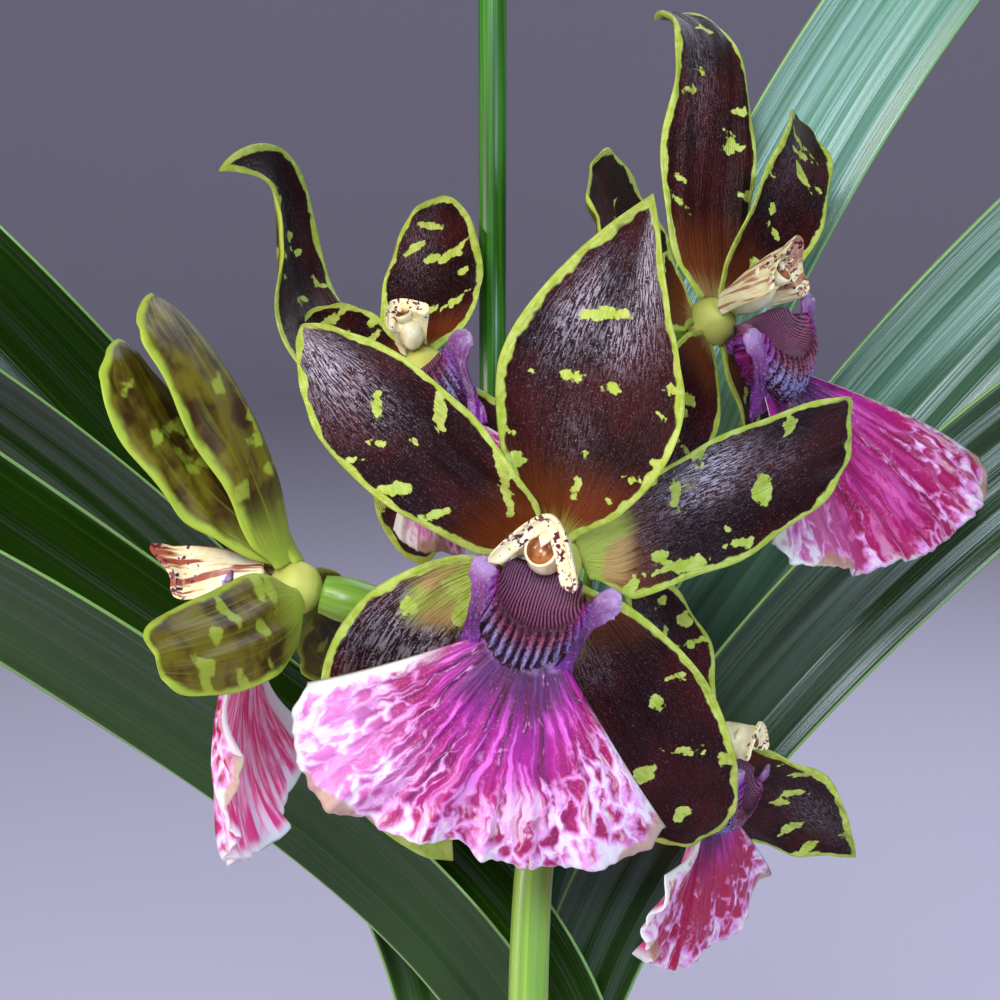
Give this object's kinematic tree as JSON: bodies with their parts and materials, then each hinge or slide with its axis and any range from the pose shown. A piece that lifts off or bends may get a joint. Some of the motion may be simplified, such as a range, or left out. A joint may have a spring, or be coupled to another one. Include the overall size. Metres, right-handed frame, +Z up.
{
  "type": "potted orchid",
  "caption": "Potted zygopetalum orchid: strap leaves on ribbed bulbs, a spike of blooms with fan-shaped lips, a green stake and bark in a terracotta pot.",
  "frame": {"origin": "centre of the pot's flat base, on its underside", "axes": "+Z up along the pot's axis; -Y towards the front, where the front bloom faces; +X to the right as seen from the front"},
  "size_m": [0.4849, 0.2884, 0.4506],
  "materials": {
    "terracotta": "matt fired clay",
    "bark": "rough dry bark",
    "stake": "smooth plastic coating, satin",
    "growth": "waxy, ribbed",
    "leaf": "waxy, satin with long veins",
    "spike": "smooth, waxy",
    "tepal": "satin with a fine granular sparkle",
    "lip": "soft satin, veined",
    "column": "waxy, spotted"
  },
  "bodies": {
    "root": {"pot": "terracotta", "bark": "bark", "stake": "stake", "growth_front": "growth", "growth_left": "growth", "growth_right": "growth", "leaf_left_1": "leaf", "leaf_left_2": "leaf", "leaf_left_3": "leaf", "leaf_left_4": "leaf", "leaf_right_1": "leaf", "leaf_right_2": "leaf", "leaf_right_3": "leaf", "leaf_back": "leaf", "flower_spike": "spike", "front_bloom_tepals": "tepal", "front_bloom_lip": "lip", "front_bloom_column": "column", "left_bloom_tepals": "tepal", "left_bloom_lip": "lip", "left_bloom_column": "column", "upper_left_bloom_tepals": "tepal", "upper_left_bloom_lip": "lip", "upper_left_bloom_column": "column", "upper_right_bloom_tepals": "tepal", "upper_right_bloom_lip": "lip", "upper_right_bloom_column": "column", "lower_right_bloom_tepals": "tepal", "lower_right_bloom_lip": "lip", "lower_right_bloom_column": "column"}
  },
  "joints": []
}
